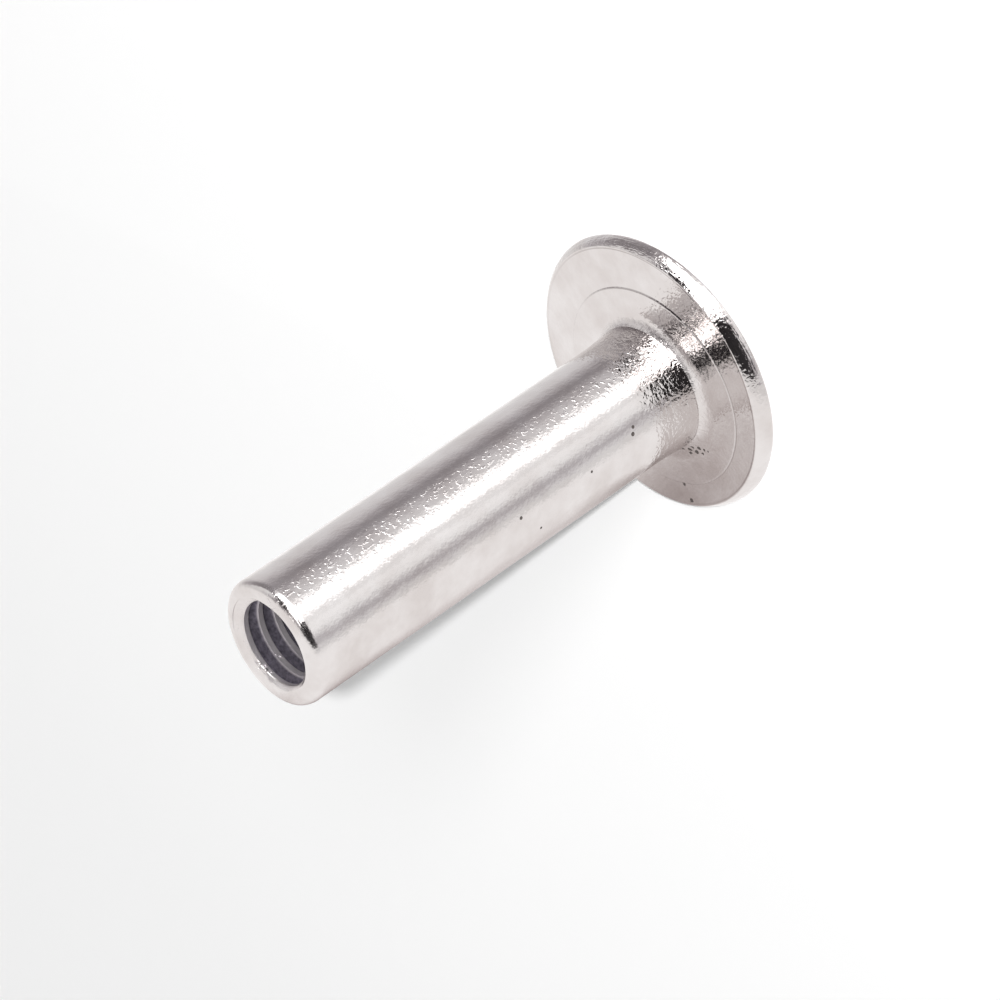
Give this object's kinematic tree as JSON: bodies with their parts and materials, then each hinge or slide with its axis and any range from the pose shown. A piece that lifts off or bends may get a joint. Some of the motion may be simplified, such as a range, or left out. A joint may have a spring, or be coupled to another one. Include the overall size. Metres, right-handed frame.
{
  "type": "threaded tubular rivet",
  "caption": "Round tubular rivet with a wide thin head, a seat ring round the neck and a blind bore with an internal screw thread at its open end.",
  "frame": {"origin": "centre of the head's flat face, on which the rivet stands", "axes": "+Z along the shank, from the head to the open end; the head's rim stands off the shank's axis towards +X"},
  "size_m": [0.0114, 0.0114, 0.0204],
  "materials": {
    "nickel_plate": "bright nickel plate on steel, glossy with a fine orange peel"
  },
  "bodies": {
    "root": {"rivet": "nickel_plate"}
  },
  "joints": []
}
